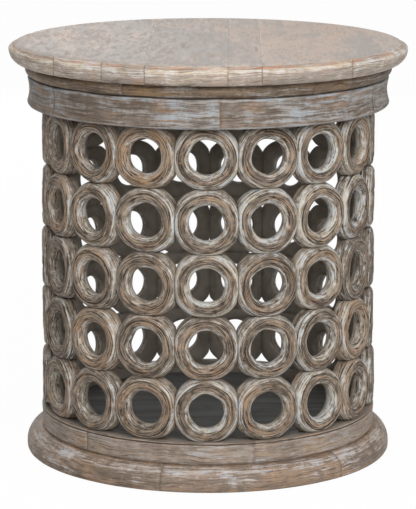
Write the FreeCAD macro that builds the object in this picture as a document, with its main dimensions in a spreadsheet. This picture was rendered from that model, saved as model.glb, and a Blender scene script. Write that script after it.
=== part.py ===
"""Round side table: a drum of turned wooden rings between a moulded base and a moulded apron.

Millimetres, +Z up, origin on the floor at the middle of the base. The front faces -Y.
"""
import FreeCAD, Part
import Sketcher
import os

doc = FreeCAD.newDocument("round_side_table")

# Driving sizes

SIZES = (
    # Lattice of rings
    ("ring_pitch", 76),
    ("ring_rows", 5),
    ("column_count", 17),
    ("ring_depth", 19),
    ("ring_trim", 3),
    ("ring_hole", 43),
    ("ring_lip", 3.5),
    ("ring_lip_depth", 4),
    ("ring_edge", 5),
    ("ring_groove_inset", 10),
    ("ring_groove_width", 3),
    ("ring_groove_depth", 1),
    ("ring_face_lead", 2.7),
    # Foot, plinth and the floor inside
    ("foot_height", 29),
    ("foot_width", 78),
    ("foot_projection", 22),
    ("foot_bulge_height", 8),
    ("foot_toe", 1),
    ("plinth_height", 27),
    ("plinth_projection", 3),
    ("plinth_lip_height", 4),
    ("plinth_groove_depth", 1.5),
    ("floor_thickness", 15),
    ("floor_clearance", 0.3),
    ("floor_board_count", 5),
    # Apron
    ("apron_height", 34),
    ("apron_projection", 18),
    ("apron_roll", 5),
    ("apron_waist_depth", 2.8),
    ("apron_shoulder_depth", 1.5),
    ("bead_height", 16),
    ("bead_projection", 20),
    ("bead_bulge", 4.5),
    ("seat_inset", 2),
    # Top
    ("top_thickness", 26),
    ("top_projection", 39.4),
    ("nose_depth", 16.5),
    # Joints between the segments, and the dowels inside
    ("segment_count", 6),
    ("apron_seam_angle", 4),
    ("plinth_seam_angle", 16),
    ("dowel_diameter", 6),
    ("dowel_length", 14),
    ("tie_diameter", 10),
    ("tie_length", 36),
    ("dowel_clearance", 0.15),
    ("dowel_end_clearance", 0.5),
    ("cut_overrun", 3),
)

# Where the joints between the top boards lie, as shares of the top's radius from the middle
BOARD_SEAM_SHARES = (-1.02, -0.735, -0.497, -0.29, 0.102, 0.261, 0.693, 1.02)

sheet = doc.addObject("Spreadsheet::Sheet", "sizes")
for row, (alias, size) in enumerate(SIZES, start=1):
    sheet.set(f"A{row}", alias)
    sheet.set(f"B{row}", str(size))
    sheet.setAlias(f"B{row}", alias)
doc.recompute()

# Formulas that follow from the driving sizes

DRUM_BOTTOM = "(sizes.foot_height + sizes.plinth_height)"
DRUM_TOP = f"({DRUM_BOTTOM} + sizes.ring_pitch * sizes.ring_rows)"
BEAD_BOTTOM = f"({DRUM_TOP} + sizes.apron_height)"
TOP_BOTTOM = f"({BEAD_BOTTOM} + sizes.bead_height)"
TABLE_HEIGHT = f"({TOP_BOTTOM} + sizes.top_thickness)"

FRONT_ANGLE = "(-90)"
COLUMN_STEP = "(360 / sizes.column_count)"
SEGMENT_STEP = "(360 / sizes.segment_count)"

FACE_RADIUS = f"(sizes.ring_pitch / 2 / tan({COLUMN_STEP} / 2) + sizes.ring_face_lead)"
MIDDLE_RADIUS = f"({FACE_RADIUS} - sizes.ring_depth / 2)"
INNER_RADIUS = f"({FACE_RADIUS} - sizes.ring_depth - sizes.seat_inset)"
TOP_RADIUS = f"({FACE_RADIUS} + sizes.top_projection)"

# How far the middle of a quarter round stands in from its corner, as a share of its radius
QUARTER_SHARE = "(1 - sqrt(0.5))"


def number(formula):
    """The present value of a formula on the sheet."""
    return float(sheet.evalExpression(formula))


def whole(alias):
    """A count from the sheet."""
    return round(number(f"sizes.{alias}"))


# Building blocks


def place(item, across="0", forward="0", up="0", turn="0"):
    """Bind an object's place: an offset, and a turn about its own axis, Z unless it was set."""
    item.setExpression(".Placement.Base.x", across)
    item.setExpression(".Placement.Base.y", forward)
    item.setExpression(".Placement.Base.z", up)
    item.setExpression(".Placement.Rotation.Angle", turn)
    return item


def cylinder(name, radius, height, angle="360"):
    """A cylinder, or a wedge of one."""
    item = doc.addObject("Part::Cylinder", name)
    item.setExpression("Radius", radius)
    item.setExpression("Height", height)
    item.setExpression("Angle", angle)
    return item


def box(name, length, width, height):
    """A block."""
    item = doc.addObject("Part::Box", name)
    item.setExpression("Length", length)
    item.setExpression("Width", width)
    item.setExpression("Height", height)
    return item


def cut(name, base, tool):
    """What is left of base without tool."""
    item = doc.addObject("Part::Cut", name)
    item.Base = base
    item.Tool = tool
    return item


def common(name, base, tool):
    """What base and tool share."""
    item = doc.addObject("Part::Common", name)
    item.Base = base
    item.Tool = tool
    return item


def group(name, members):
    """Several solids side by side, each still separate."""
    item = doc.addObject("Part::Compound", name)
    item.Links = members
    return item


def moved(name, original, across="0", forward="0", up="0", turn="0"):
    """One moved copy of an object."""
    link = doc.addObject("App::Link", name)
    link.LinkedObject = original
    link.LinkTransform = True
    return place(link, across, forward, up, turn)


def copies(name, original, lifts=("0",), turns=("0",)):
    """The original repeated at each lift and turn, as one group."""
    members = [moved(f"{name}_copy", original, up=up, turn=turn) for turn in turns for up in lifts]
    return group(name, members)


def steps(total, step, first="0"):
    """Turns or offsets that start at first and go up by step."""
    return [f"{first} + {index} * {step}" for index in range(total)]


def hold_point(sketch, geometry, end, across, up, bindings):
    """Tie a point of a sketch to its two formulas, or to an axis where a formula is zero."""
    for kind, formula, axis in (("DistanceX", across, -2), ("DistanceY", up, -1)):
        if formula == "0":
            sketch.addConstraint(Sketcher.Constraint("PointOnObject", geometry, end, axis))
        else:
            rule = Sketcher.Constraint(kind, -1, 1, geometry, end, number(formula))
            bindings.append((sketch.addConstraint(rule), formula))


def turned_body(name, plane_role, axis, outline):
    """A body turned from a closed outline.

    Each corner is (across, up), or (across, up, via across, via up) where an arc leads on from it.
    """
    body = doc.addObject("PartDesign::Body", name)
    sketch = body.newObject("Sketcher::SketchObject", f"{name}_outline")
    plane = next(item for item in body.Origin.OriginFeatures if item.Role == plane_role)
    sketch.AttachmentSupport = [(plane, "")]
    sketch.MapMode = "FlatFace"
    bindings = []
    ends = []
    spots = [FreeCAD.Vector(number(corner[0]), number(corner[1]), 0) for corner in outline]
    for index, corner in enumerate(outline):
        start = spots[index]
        finish = spots[(index + 1) % len(spots)]
        if len(corner) == 2:
            sketch.addGeometry(Part.LineSegment(start, finish))
            ends.append((1, 2))
        else:
            via = FreeCAD.Vector(number(corner[2]), number(corner[3]), 0)
            sketch.addGeometry(Part.Arc(start, via, finish))
            runs_left = (via - start).cross(finish - via).z > 0
            ends.append((1, 2) if runs_left else (2, 1))
    for index, corner in enumerate(outline):
        following = (index + 1) % len(outline)
        meeting = (index, ends[index][1], following, ends[following][0])
        sketch.addConstraint(Sketcher.Constraint("Coincident", *meeting))
        hold_point(sketch, index, ends[index][0], corner[0], corner[1], bindings)
    for index, corner in enumerate(outline):
        if len(corner) == 4:
            via = FreeCAD.Vector(number(corner[2]), number(corner[3]), 0)
            spot = sketch.addGeometry(Part.Point(via), True)
            hold_point(sketch, spot, 1, corner[2], corner[3], bindings)
            sketch.addConstraint(Sketcher.Constraint("PointOnObject", spot, 1, index))
    for rule, formula in bindings:
        sketch.setExpression(f"Constraints[{rule}]", formula)
    turned = body.newObject("PartDesign::Revolution", f"{name}_turned")
    turned.Profile = sketch
    turned.ReferenceAxis = (sketch, [axis])
    turned.Angle = 360
    body.Tip = turned
    return body


# Dowels, and the slightly larger holes that take them


def dowel_pair(name, diameter, length):
    """A dowel standing about the origin, and the hole for it."""
    pin = cylinder(name, f"{diameter} / 2", length)
    place(pin, up=f"-{length} / 2")
    hole_length = f"({length} + 2 * sizes.dowel_end_clearance)"
    hole = cylinder(f"{name}_hole", f"{diameter} / 2 + sizes.dowel_clearance", hole_length)
    place(hole, up=f"-{hole_length} / 2")
    return pin, hole


COLUMN_TURNS = steps(whole("column_count"), COLUMN_STEP)
SIDE_TURNS = steps(whole("column_count"), COLUMN_STEP, f"{COLUMN_STEP} / 2")
ROW_LIFTS = steps(whole("ring_rows"), "sizes.ring_pitch")
JOINT_LIFTS = steps(whole("ring_rows") + 1, "sizes.ring_pitch")

RING_MIDDLE = f"({DRUM_BOTTOM} + sizes.ring_pitch / 2)"
BEAD_MIDDLE = f"({BEAD_BOTTOM} + sizes.bead_height / 2)"

ring_pin, ring_pin_hole = dowel_pair("ring_pin", "sizes.dowel_diameter", "sizes.dowel_length")
tie_pin, tie_pin_hole = dowel_pair("tie_pin", "sizes.tie_diameter", "sizes.tie_length")


def tie_turns(seam_angle):
    """Two ties to a segment, midway between the joints of the two rings that they hold together."""
    half_step = f"({SEGMENT_STEP} / 2)"
    return steps(2 * whole("segment_count"), half_step, f"{seam_angle} + {half_step} / 2")


def standing(name, original, up):
    """A copy that stands upright in the front of the drum's wall."""
    return moved(name, original, forward=f"-{MIDDLE_RADIUS}", up=up)


def lying(name, original):
    """A copy that lies across the front of the drum's wall, at the middle of the lowest row."""
    link = moved(name, original, forward=f"-{MIDDLE_RADIUS}", up=RING_MIDDLE)
    link.setExpression(".Placement.Rotation.Angle", None)
    link.Placement.Rotation = FreeCAD.Rotation(FreeCAD.Vector(0, 1, 0), 90)
    return link


column_pin = standing("column_pin", ring_pin, DRUM_BOTTOM)
column_hole = standing("column_hole", ring_pin_hole, DRUM_BOTTOM)
side_pin = lying("side_pin", ring_pin)
side_hole = lying("side_hole", ring_pin_hole)
top_tie = standing("top_tie", tie_pin, BEAD_MIDDLE)
top_tie_hole = standing("top_tie_hole", tie_pin_hole, BEAD_MIDDLE)
base_tie = standing("base_tie", tie_pin, "sizes.foot_height")
base_tie_hole = standing("base_tie_hole", tie_pin_hole, "sizes.foot_height")

APRON_TIE_TURNS = tie_turns("sizes.apron_seam_angle")
PLINTH_TIE_TURNS = tie_turns("sizes.plinth_seam_angle")

nodes = [
    copies("column_dowels", column_pin, JOINT_LIFTS, COLUMN_TURNS),
    copies("side_dowels", side_pin, ROW_LIFTS, SIDE_TURNS),
    copies("top_tie_dowels", top_tie, turns=APRON_TIE_TURNS),
    copies("base_tie_dowels", base_tie, turns=PLINTH_TIE_TURNS),
]

drum_ends = ("0", f"{DRUM_TOP} - {DRUM_BOTTOM}")
column_holes = copies("column_holes", column_hole, drum_ends, COLUMN_TURNS)
top_tie_holes = copies("top_tie_holes", top_tie_hole, turns=APRON_TIE_TURNS)
base_tie_holes = copies("base_tie_holes", base_tie_hole, turns=PLINTH_TIE_TURNS)

# Rings: turned, trimmed to meet their four neighbours, and drilled

RING_RADIUS = "(sizes.ring_pitch / 2 + sizes.ring_trim)"
HOLE_RADIUS = "(sizes.ring_hole / 2)"
LIP_RADIUS = f"({HOLE_RADIUS} + sizes.ring_lip)"
GROOVE_RADIUS = f"({RING_RADIUS} - sizes.ring_groove_inset)"
EDGE_INSET = f"sizes.ring_edge * {QUARTER_SHARE}"

# Across is the depth behind the face, and up is the distance from the ring's own axis
RING_OUTLINE = (
    ("sizes.ring_lip_depth", HOLE_RADIUS),
    ("sizes.ring_depth - sizes.ring_lip_depth", HOLE_RADIUS),
    ("sizes.ring_depth", LIP_RADIUS),
    (
        "sizes.ring_depth",
        f"{RING_RADIUS} - sizes.ring_edge",
        f"sizes.ring_depth - {EDGE_INSET}",
        f"{RING_RADIUS} - {EDGE_INSET}",
    ),
    ("sizes.ring_depth - sizes.ring_edge", RING_RADIUS),
    ("sizes.ring_edge", RING_RADIUS, EDGE_INSET, f"{RING_RADIUS} - {EDGE_INSET}"),
    ("0", f"{RING_RADIUS} - sizes.ring_edge"),
    ("0", f"{GROOVE_RADIUS} + sizes.ring_groove_width / 2"),
    ("sizes.ring_groove_depth", GROOVE_RADIUS),
    ("0", f"{GROOVE_RADIUS} - sizes.ring_groove_width / 2"),
    ("0", LIP_RADIUS),
)

ring_blank = turned_body("ring_blank", "YZ_Plane", "H_Axis", RING_OUTLINE)
place(ring_blank, forward=f"-{FACE_RADIUS}", up=RING_MIDDLE)

ring_cell = cylinder("ring_cell", f"{FACE_RADIUS} + sizes.ring_pitch", "sizes.ring_pitch", COLUMN_STEP)
place(ring_cell, up=DRUM_BOTTOM, turn=f"{FRONT_ANGLE} - {COLUMN_STEP} / 2")

ring_upright_holes = copies("ring_upright_holes", column_hole, ("0", "sizes.ring_pitch"))
ring_side_turns = (f"-{COLUMN_STEP} / 2", f"{COLUMN_STEP} / 2")
ring_side_holes = copies("ring_side_holes", side_hole, turns=ring_side_turns)
ring_trimmed = common("ring_trimmed", ring_blank, ring_cell)
ring = cut("ring", ring_trimmed, group("ring_holes", [ring_upright_holes, ring_side_holes]))
ring_stack = copies("ring_stack", ring, ROW_LIFTS)

for index, turn in enumerate(COLUMN_TURNS, start=1):
    nodes.append(copies(f"ring_column_{index:02d}", ring_stack, turns=(turn,)))

# Ways of dividing a round solid into the pieces that it is glued up from


def segments(name, solid, bottom, height, seam_angle):
    """The curved segments of a ring, the first one starting at its seam angle from the front."""
    pieces = []
    reach = f"{TOP_RADIUS} + sizes.cut_overrun"
    for index, turn in enumerate(steps(whole("segment_count"), SEGMENT_STEP, seam_angle), start=1):
        wedge = cylinder(f"{name}_wedge", reach, f"{height} + 2 * sizes.cut_overrun", SEGMENT_STEP)
        place(wedge, up=f"{bottom} - sizes.cut_overrun", turn=f"{FRONT_ANGLE} + {turn}")
        pieces.append(common(f"{name}_{index}", solid, wedge))
    return pieces


def boards(name, solid, edges, radius, bottom, height, run_front_to_back):
    """The boards of a disc, between each edge and the next."""
    pieces = []
    run = f"2 * ({radius} + sizes.cut_overrun)"
    start = f"-({radius} + sizes.cut_overrun)"
    low = f"{bottom} - sizes.cut_overrun"
    tall = f"{height} + 2 * sizes.cut_overrun"
    for index, (near, far) in enumerate(zip(edges, edges[1:]), start=1):
        wide = f"({far}) - ({near})"
        if run_front_to_back:
            blank = place(box(f"{name}_blank", wide, run, tall), near, start, low)
        else:
            blank = place(box(f"{name}_blank", run, wide, tall), start, near, low)
        pieces.append(common(f"{name}_{index}", solid, blank))
    return pieces


# Foot ring: a bullnose on the floor, wide enough inside to carry the floor boards

FOOT_RADIUS = f"({FACE_RADIUS} + sizes.foot_projection)"
FOOT_INNER_RADIUS = f"({FOOT_RADIUS} - sizes.foot_width)"
PLINTH_RADIUS = f"({FACE_RADIUS} + sizes.plinth_projection)"

# Where the bullnose passes between its widest point and the plinth: the share of the way in and up
FOOT_IN_SHARE = 0.36
FOOT_UP_SHARE = 0.74
TOE_SHARE = 0.3

FOOT_OUTLINE = (
    (FOOT_INNER_RADIUS, "0"),
    (
        f"{FOOT_RADIUS} - sizes.foot_toe",
        "0",
        f"{FOOT_RADIUS} - sizes.foot_toe * {TOE_SHARE}",
        "sizes.foot_bulge_height / 2",
    ),
    (
        FOOT_RADIUS,
        "sizes.foot_bulge_height",
        f"{FOOT_RADIUS} - ({FOOT_RADIUS} - {PLINTH_RADIUS}) * {FOOT_IN_SHARE}",
        f"sizes.foot_bulge_height + (sizes.foot_height - sizes.foot_bulge_height) * {FOOT_UP_SHARE}",
    ),
    (PLINTH_RADIUS, "sizes.foot_height"),
    (FOOT_INNER_RADIUS, "sizes.foot_height"),
)

foot_turned = turned_body("foot_turned", "XZ_Plane", "V_Axis", FOOT_OUTLINE)
foot_ring = cut("foot_ring", foot_turned, base_tie_holes)
FOOT_SEAM = f"sizes.plinth_seam_angle + {SEGMENT_STEP} / 2"
nodes += segments("foot_segment", foot_ring, "0", "sizes.foot_height", FOOT_SEAM)

# Plinth ring: a plain band with a thin lip under the rings

PLINTH_GROOVE = f"({DRUM_BOTTOM} - sizes.plinth_lip_height)"

PLINTH_OUTLINE = (
    (INNER_RADIUS, "sizes.foot_height"),
    (PLINTH_RADIUS, "sizes.foot_height"),
    (PLINTH_RADIUS, f"{PLINTH_GROOVE} - sizes.plinth_groove_depth"),
    (f"{PLINTH_RADIUS} - sizes.plinth_groove_depth", PLINTH_GROOVE),
    (PLINTH_RADIUS, f"{PLINTH_GROOVE} + sizes.plinth_groove_depth"),
    (PLINTH_RADIUS, DRUM_BOTTOM),
    (INNER_RADIUS, DRUM_BOTTOM),
)

plinth_turned = turned_body("plinth_turned", "XZ_Plane", "V_Axis", PLINTH_OUTLINE)
plinth_holes = group("plinth_holes", [base_tie_holes, column_holes])
plinth_ring = cut("plinth_ring", plinth_turned, plinth_holes)
PLINTH_SEAM = "sizes.plinth_seam_angle"
nodes += segments("plinth_segment", plinth_ring, "sizes.foot_height", "sizes.plinth_height", PLINTH_SEAM)

# Floor inside the drum: boards that run left to right, on the foot ring and inside the plinth

FLOOR_RADIUS = f"({INNER_RADIUS} - sizes.floor_clearance)"
FLOOR_BOARD_WIDTH = f"(2 * {FLOOR_RADIUS} / sizes.floor_board_count)"

floor_disc = place(cylinder("floor_disc", FLOOR_RADIUS, "sizes.floor_thickness"), up="sizes.foot_height")
floor_edges = steps(whole("floor_board_count") + 1, FLOOR_BOARD_WIDTH, f"-{FLOOR_RADIUS}")
floor_edges[0] += " - sizes.cut_overrun"
floor_edges[-1] += " + sizes.cut_overrun"
nodes += boards(
    "floor_board",
    floor_disc,
    floor_edges,
    FLOOR_RADIUS,
    "sizes.foot_height",
    "sizes.floor_thickness",
    run_front_to_back=False,
)

# Lower apron ring: a hollowed band with a rolled lower edge

APRON_RADIUS = f"({FACE_RADIUS} + sizes.apron_projection)"
ROLL_INSET = f"sizes.apron_roll * {QUARTER_SHARE}"
ROLL_TOP = f"({DRUM_TOP} + sizes.apron_roll)"

APRON_OUTLINE = (
    (INNER_RADIUS, DRUM_TOP),
    (
        f"{APRON_RADIUS} - sizes.apron_roll",
        DRUM_TOP,
        f"{APRON_RADIUS} - {ROLL_INSET}",
        f"{DRUM_TOP} + {ROLL_INSET}",
    ),
    (
        APRON_RADIUS,
        ROLL_TOP,
        f"{APRON_RADIUS} - sizes.apron_waist_depth",
        f"({ROLL_TOP} + {BEAD_BOTTOM}) / 2",
    ),
    (f"{APRON_RADIUS} - sizes.apron_shoulder_depth", BEAD_BOTTOM),
    (INNER_RADIUS, BEAD_BOTTOM),
)

apron_turned = turned_body("apron_turned", "XZ_Plane", "V_Axis", APRON_OUTLINE)
apron_holes = group("apron_holes", [top_tie_holes, column_holes])
apron_ring = cut("apron_ring", apron_turned, apron_holes)
APRON_SEAM = "sizes.apron_seam_angle"
nodes += segments("apron_segment", apron_ring, DRUM_TOP, "sizes.apron_height", APRON_SEAM)

# Upper apron ring: a bead directly under the top

BEAD_RADIUS = f"({FACE_RADIUS} + sizes.bead_projection)"
BEAD_EDGE_RADIUS = f"({BEAD_RADIUS} - sizes.bead_bulge)"

BEAD_OUTLINE = (
    (INNER_RADIUS, BEAD_BOTTOM),
    (BEAD_EDGE_RADIUS, BEAD_BOTTOM, BEAD_RADIUS, BEAD_MIDDLE),
    (BEAD_EDGE_RADIUS, TOP_BOTTOM),
    (INNER_RADIUS, TOP_BOTTOM),
)

bead_turned = turned_body("bead_turned", "XZ_Plane", "V_Axis", BEAD_OUTLINE)
bead_ring = cut("bead_ring", bead_turned, top_tie_holes)
BEAD_SEAM = f"sizes.apron_seam_angle + {SEGMENT_STEP} / 2"
nodes += segments("bead_segment", bead_ring, BEAD_BOTTOM, "sizes.bead_height", BEAD_SEAM)

# Top: boards that run front to back, under one bullnose edge

NOSE_RADIUS = f"({TOP_RADIUS} - sizes.nose_depth)"
NOSE_MIDDLE = f"({TOP_BOTTOM} + sizes.top_thickness / 2)"

# Each half of the nose leaves its flat face smoothly: half way along, the arc is half a chord out
NOSE_CHORD = "hypot(sizes.nose_depth; sizes.top_thickness / 2)"
NOSE_VIA_RADIUS = f"{NOSE_RADIUS} + {NOSE_CHORD} / 2"
NOSE_VIA_INSET = f"{NOSE_CHORD} * ({NOSE_CHORD} - sizes.nose_depth) / sizes.top_thickness"

TOP_OUTLINE = (
    ("0", TOP_BOTTOM),
    (NOSE_RADIUS, TOP_BOTTOM, NOSE_VIA_RADIUS, f"{TOP_BOTTOM} + {NOSE_VIA_INSET}"),
    (TOP_RADIUS, NOSE_MIDDLE, NOSE_VIA_RADIUS, f"{TABLE_HEIGHT} - {NOSE_VIA_INSET}"),
    (NOSE_RADIUS, TABLE_HEIGHT),
    ("0", TABLE_HEIGHT),
)

top_turned = turned_body("top_turned", "XZ_Plane", "V_Axis", TOP_OUTLINE)
top_disc = cut("top_disc", top_turned, top_tie_holes)
top_edges = [f"{TOP_RADIUS} * ({share})" for share in BOARD_SEAM_SHARES]
nodes += boards(
    "top_board",
    top_disc,
    top_edges,
    TOP_RADIUS,
    TOP_BOTTOM,
    "sizes.top_thickness",
    run_front_to_back=True,
)

# Check every object, then write each node

doc.recompute()
for item in doc.Objects:
    if "Invalid" in item.State or "Error" in item.State:
        raise RuntimeError(f"{item.Name} failed: {item.State}")
for node in nodes:
    if node.Shape.isNull() or not node.Shape.isValid() or not node.Shape.Solids:
        raise RuntimeError(f"{node.Label} has no valid solid")

os.makedirs("parts", exist_ok=True)
for node in nodes:
    node.Shape.exportStep(f"parts/{node.Label}.step")
    print(node.Label, len(node.Shape.Solids), "solids", round(node.Shape.Volume), "mm3")
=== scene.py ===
"""Looks of the round side table: hand-turned rings, limed boards and worn mouldings, in metres."""

import math
import random

import bmesh
import bpy
from mathutils import Euler, Matrix, Vector, noise


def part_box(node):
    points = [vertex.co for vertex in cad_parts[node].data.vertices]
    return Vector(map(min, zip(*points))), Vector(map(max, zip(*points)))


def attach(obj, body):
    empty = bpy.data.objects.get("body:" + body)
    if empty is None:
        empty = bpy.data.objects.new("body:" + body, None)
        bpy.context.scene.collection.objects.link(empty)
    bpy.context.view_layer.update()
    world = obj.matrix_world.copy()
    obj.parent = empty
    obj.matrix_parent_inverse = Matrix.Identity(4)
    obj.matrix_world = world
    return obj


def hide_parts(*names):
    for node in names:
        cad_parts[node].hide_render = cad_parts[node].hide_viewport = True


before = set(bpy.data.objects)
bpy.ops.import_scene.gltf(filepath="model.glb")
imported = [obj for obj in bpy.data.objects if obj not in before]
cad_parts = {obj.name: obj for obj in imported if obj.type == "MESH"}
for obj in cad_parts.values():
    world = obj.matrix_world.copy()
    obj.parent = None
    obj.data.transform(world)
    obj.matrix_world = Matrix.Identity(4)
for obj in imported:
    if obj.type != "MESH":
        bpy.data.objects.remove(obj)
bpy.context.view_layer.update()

MM = 0.001

# Sizes read from the frame


def nodes_named(prefix):
    """The CAD nodes whose names start with prefix, in order."""
    return sorted(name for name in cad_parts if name.startswith(prefix))


def reach(prefix):
    """The largest distance from the table's axis among those nodes, along X or Y."""
    corners = [corner for name in nodes_named(prefix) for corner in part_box(name)]
    return max(max(abs(corner.x), abs(corner.y)) for corner in corners)


def levels(prefix):
    """The lowest and highest level of those nodes."""
    low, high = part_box(nodes_named(prefix)[0])
    return low.z, high.z


COLUMN_NODES = nodes_named("ring_column")
COLUMN_STEP = 2 * math.pi / len(COLUMN_NODES)
RING_ROWS = 5

front_low, front_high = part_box(COLUMN_NODES[0])
FACE_RADIUS = -front_low.y
RING_DEPTH = front_high.y - front_low.y
RING_PITCH = (front_high.z - front_low.z) / RING_ROWS
DRUM_BOTTOM = front_low.z

SEAT_INSET = 2 * MM
INNER_RADIUS = FACE_RADIUS - RING_DEPTH - SEAT_INSET
PLINTH_RADIUS = reach("plinth_segment")
APRON_RADIUS = reach("apron_segment")
BEAD_RADIUS = reach("bead_segment")
TOP_RADIUS = reach("top_board")
FOOT_RADIUS = reach("foot_segment")
APRON_LOW, APRON_HIGH = levels("apron_segment")
BEAD_LOW, BEAD_HIGH = levels("bead_segment")
TOP_LOW, TOP_HIGH = levels("top_board")
PLINTH_LOW, PLINTH_HIGH = levels("plinth_segment")

SEGMENT_STEP = 2 * math.pi / len(nodes_named("apron_segment"))
APRON_SEAM = math.radians(4)
BEAD_SEAM = APRON_SEAM + SEGMENT_STEP / 2
PLINTH_SEAM = math.radians(16)
FOOT_SEAM = PLINTH_SEAM + SEGMENT_STEP / 2

# Meshes


# A face with this many corners or more is the flat end of a board or segment
END_CORNERS = 8


class Solid:
    """The points, faces and paint of a mesh while it is being made."""

    def __init__(self):
        self.places = []
        self.faces = []
        self.grain = []
        self.depth = []
        self.wear_and_painted_light = []

    def add(self, place, grain, depth, wear_and_painted_light):
        """One point: its place, its place in the grain, and (recess, worn, lime, inside) from 0 to 1."""
        self.places.append(tuple(place))
        self.grain.extend(grain)
        self.depth.append(depth)
        self.wear_and_painted_light.extend(wear_and_painted_light)

    def weave(self, first, rows, count, closed):
        """Faces between rows of count points, each row a closed loop, from the first point on."""
        for row in range(rows if closed else rows - 1):
            here = first + row * count
            there = first + (row + 1) % rows * count
            for index in range(count):
                after = (index + 1) % count
                self.faces.append((here + index, here + after, there + after, there + index))


def add_piece(name, solid, slot, node, *materials):
    """A mesh that stands for one CAD node, with its grain, its wear and its painted light and shade
    stored on its points.
    """
    mesh = bpy.data.meshes.new(name)
    mesh.from_pydata(solid.places, [], solid.faces)
    shape = bmesh.new()
    shape.from_mesh(mesh)
    bmesh.ops.recalc_face_normals(shape, faces=shape.faces)
    shape.to_mesh(mesh)
    shape.free()
    mesh.polygons.foreach_set("use_smooth", [len(face) < END_CORNERS for face in solid.faces])
    mesh.attributes.new("grain", "FLOAT_VECTOR", "POINT").data.foreach_set("vector", solid.grain)
    mesh.attributes.new("grain_depth", "FLOAT", "POINT").data.foreach_set("value", solid.depth)
    mesh.attributes.new("wear_and_painted_light", "FLOAT_COLOR", "POINT").data.foreach_set("color", solid.wear_and_painted_light)
    for material in materials:
        mesh.materials.append(material)
    piece = bpy.data.objects.new(name, mesh)
    bpy.context.scene.collection.objects.link(piece)
    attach(piece, "root")
    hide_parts(node)
    return piece


def wavy(x, y, z):
    """Smooth noise about zero."""
    return noise.noise(Vector((x, y, z)))


def wave_round(across, up, waves, seed):
    """Smooth noise about zero that meets itself after a full turn, at one direction of a circle."""
    return wavy(waves * across, waves * up, seed)


def clamp(value):
    """A value kept between 0 and 1."""
    return min(max(value, 0), 1)


def soft_min(first, second, blend):
    """The smaller of two, with a rounded change from one to the other."""
    overlap = max(blend - abs(first - second), 0) / blend
    return min(first, second) - overlap * overlap * blend / 4


# Turned rings: a domed face round a hole that flares to both sides, with grooves cut by hand

RING_SEED = 17
RING_STEPS = 72
RING_RADIUS = RING_PITCH / 2 + 3.4 * MM
CROWN_RADIUS = 31 * MM
HOLE_RADIUS = 20.8 * MM
MOUTH_DEPTH = 8 * MM
BACK_MOUTH_DEPTH = 9 * MM
BACK_MOUTH_RISE = 6 * MM
BACK_TURNS = (0, 30, 60, 90)
SHOULDER_DEPTH = 15.5 * MM
BACK_EASE = 0.8 * MM
BACK_EDGE_INSIDE = 0.6
FLAT_BLEND = 1.6 * MM
OUT_OF_ROUND = 1.4 * MM
ROUND_WAVES = 1.3
OFF_CENTRE = 0.7 * MM
FACE_WAVE = 0.5 * MM
FACE_WAVES = 2
FACE_TILT = 0.016
FACE_LEAD = 0.6 * MM
CHIP_DEPTH = 1.2 * MM
CHIP_WAVES = 5
CHIP_FROM = 0.2
FINE_GROOVES = (25.4 * MM, 27.2 * MM, 29.0 * MM, 34.6 * MM)
FINE_DEPTHS = (0.1 * MM, 0.5 * MM, 0.9 * MM)
DEEP_GROOVES = (30.9 * MM, 32.8 * MM)
DEEP_DEPTHS = (0.8 * MM, 1.2 * MM, 1.6 * MM)
GROOVE_WIDTHS = (0.35 * MM, 0.6 * MM)
GROOVE_SHIFT = 0.8 * MM
GROOVE_WANDER = 0.8 * MM
WANDER_WAVES = 1.4
GROOVE_STRENGTH = 0.6
STRENGTH_SWING = 1.6
STRENGTH_WAVES = 2.4
GROOVE_BLACKEST = 0.8 * MM
WORN_DEPTH = 1.8 * MM
GROOVED_DEPTH = 2 * WORN_DEPTH
SHOULDER_RADIUS = 33 * MM
SHOULDER_BLEND = 4 * MM
LIMED_DEPTH = 5 * MM
LIMED_BLEND = 7 * MM
FLANK_RADIUS = 27 * MM
FLANK_BLEND = 4 * MM
# Painted light and shade in the rings' tone: lighter towards the right, darker towards both sides of the
# drum
PAINTED_RIGHT_LIGHT = 0.3
PAINTED_SIDE_SHADE = 0.8
ALL_TONE = 0.3
FLANK_LIME = 0.2
FLANK_TONE = 0.2
SHOULDER_LIME = 0.1
SHOULDER_TONE = 0.25
SHOULDER_BESIDE = 0.25
FINE_TURNS = tuple(range(0, 42, 3))
COARSE_TURNS = tuple(range(46, 91, 11))

# The least sine or cosine that a limit is divided by
LEAST_SHARE = 0.01

# How far each row stands out of line, and how far each joint hangs low, from the bottom up
ROW_LEANS = (2.0 * MM, 0.6 * MM, 0.2 * MM, -0.3 * MM, -1.2 * MM)
JOINT_DROPS = (0, 1.2 * MM, 1.2 * MM, 2.0 * MM, 0.4 * MM, 0)


def ring_outline():
    """A ring's outline from the back of its hole over its face: radius, depth, share that is inside."""
    turns = [math.radians(turn) for turn in FINE_TURNS + COARSE_TURNS]
    hole_rise = CROWN_RADIUS - HOLE_RADIUS
    wall_rise = RING_RADIUS - CROWN_RADIUS
    outline = []
    for turn in map(math.radians, BACK_TURNS):
        radius = HOLE_RADIUS + BACK_MOUTH_RISE * (1 - math.sin(turn))
        outline.append((radius, RING_DEPTH - BACK_MOUTH_DEPTH * (1 - math.cos(turn)), math.cos(turn)))
    for turn in reversed(turns[1:]):
        depth = MOUTH_DEPTH * (1 - math.cos(turn))
        outline.append((CROWN_RADIUS - hole_rise * math.sin(turn), depth, 0))
    for turn in turns:
        depth = SHOULDER_DEPTH * (1 - math.cos(turn))
        outline.append((CROWN_RADIUS + wall_rise * math.sin(turn), depth, 0))
    outline.append((RING_RADIUS, RING_DEPTH - BACK_EASE, BACK_EDGE_INSIDE))
    outline.append((RING_RADIUS - BACK_EASE, RING_DEPTH, 1))
    outline.append((CROWN_RADIUS, RING_DEPTH, 1))
    return outline


RING_OUTLINE = ring_outline()


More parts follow.
